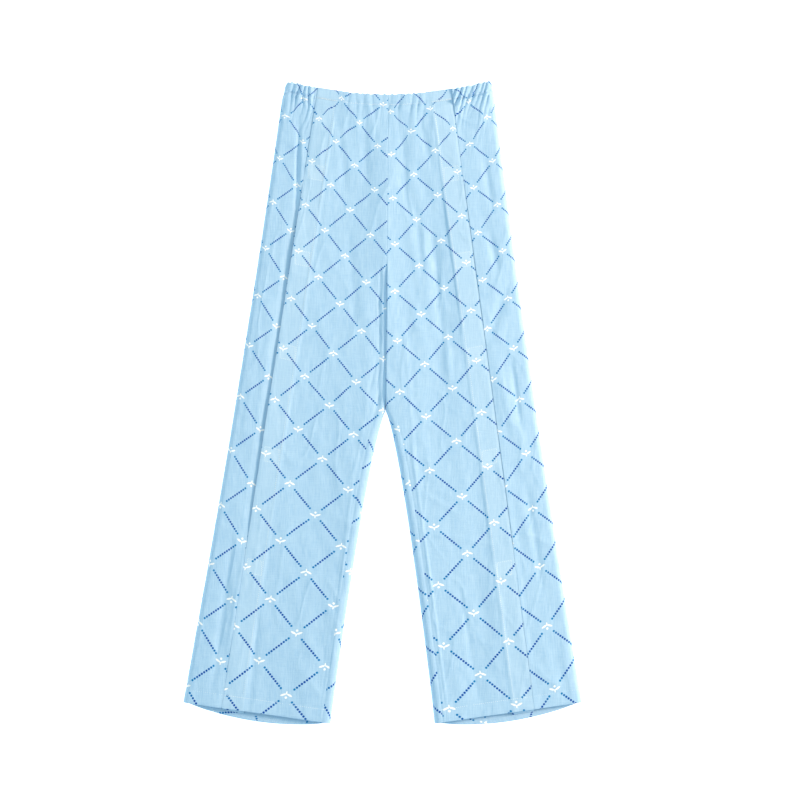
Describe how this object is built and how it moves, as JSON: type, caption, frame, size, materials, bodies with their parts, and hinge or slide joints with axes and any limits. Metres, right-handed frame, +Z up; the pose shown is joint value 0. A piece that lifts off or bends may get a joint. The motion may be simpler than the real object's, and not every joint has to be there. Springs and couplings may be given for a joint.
{
  "type": "side-opening patient trousers",
  "caption": "Hospital patient trousers laid flat, with an elastic waist and front flaps that peel open from waist to hem on hook-and-loop squares.",
  "frame": {"origin": "on the resting surface, in the middle of the garment's box as it lies", "axes": "+Y towards the waist, +Z up out of the front, +X towards the wearer's left leg"},
  "size_m": [0.618, 0.9976, 0.02],
  "materials": {
    "printed_cotton": "plain-weave light blue cotton, slightly creased, with a lattice print of small dark blue dots and small white sprigs",
    "facing_cotton": "the same plain-weave cotton, reverse side",
    "hook_tape": "pale woven tape set with small nylon hooks",
    "loop_tape": "pale brushed nylon loop pile",
    "elastic": "white braided elastic",
    "thread": "light blue polyester sewing thread"
  },
  "bodies": {
    "trousers": {"back_panel_left": "printed_cotton", "back_panel_right": "printed_cotton", "casing_thread_back_left": "thread", "casing_thread_back_right": "thread", "casing_thread_front_left": "thread", "casing_thread_front_right": "thread", "front_panel_left": "printed_cotton", "front_panel_right": "printed_cotton", "hem_thread_back_left": "thread", "hem_thread_back_right": "thread", "hem_thread_front_left": "thread", "hem_thread_front_right": "thread", "inseam_left": "printed_cotton", "inseam_right": "printed_cotton", "inseam_thread_left": "thread", "inseam_thread_right": "thread", "loop_square_left_1": "loop_tape", "loop_square_left_2": "loop_tape", "loop_square_left_3": "loop_tape", "loop_square_left_4": "loop_tape", "loop_square_left_5": "loop_tape", "loop_square_right_1": "loop_tape", "loop_square_right_2": "loop_tape", "loop_square_right_3": "loop_tape", "loop_square_right_4": "loop_tape", "loop_square_right_5": "loop_tape", "rise_thread_back": "thread", "rise_thread_front": "thread", "side_fold_left": "printed_cotton", "side_fold_right": "printed_cotton", "underlap_facing_left": "facing_cotton", "underlap_facing_right": "facing_cotton", "underlap_left": "printed_cotton", "underlap_right": "printed_cotton", "underlap_thread_left": "thread", "underlap_thread_right": "thread", "waist_elastic_back": "elastic", "waist_elastic_front": "elastic"},
    "flap_left": {"front_flap_left": "printed_cotton", "hem_thread_flap_left": "thread", "hook_square_left_1": "hook_tape", "hook_square_left_2": "hook_tape", "hook_square_left_3": "hook_tape", "hook_square_left_4": "hook_tape", "hook_square_left_5": "hook_tape", "placket_facing_left": "facing_cotton", "placket_thread_left": "thread"},
    "flap_right": {"front_flap_right": "printed_cotton", "hem_thread_flap_right": "thread", "hook_square_right_1": "hook_tape", "hook_square_right_2": "hook_tape", "hook_square_right_3": "hook_tape", "hook_square_right_4": "hook_tape", "hook_square_right_5": "hook_tape", "placket_facing_right": "facing_cotton", "placket_thread_right": "thread"}
  },
  "joints": [
    {"name": "flap_left_peel", "type": "hinge", "parent": "trousers", "child": "flap_left", "pos_m": [0.1035, -0.00497, 0.02], "axis": [0.0689, -0.9976, 0], "range_deg": [0, 165]},
    {"name": "flap_right_peel", "type": "hinge", "parent": "trousers", "child": "flap_right", "pos_m": [-0.1075, -0.00328, 0.02], "axis": [0.0894, 0.996, 0], "range_deg": [0, 165]}
  ]
}
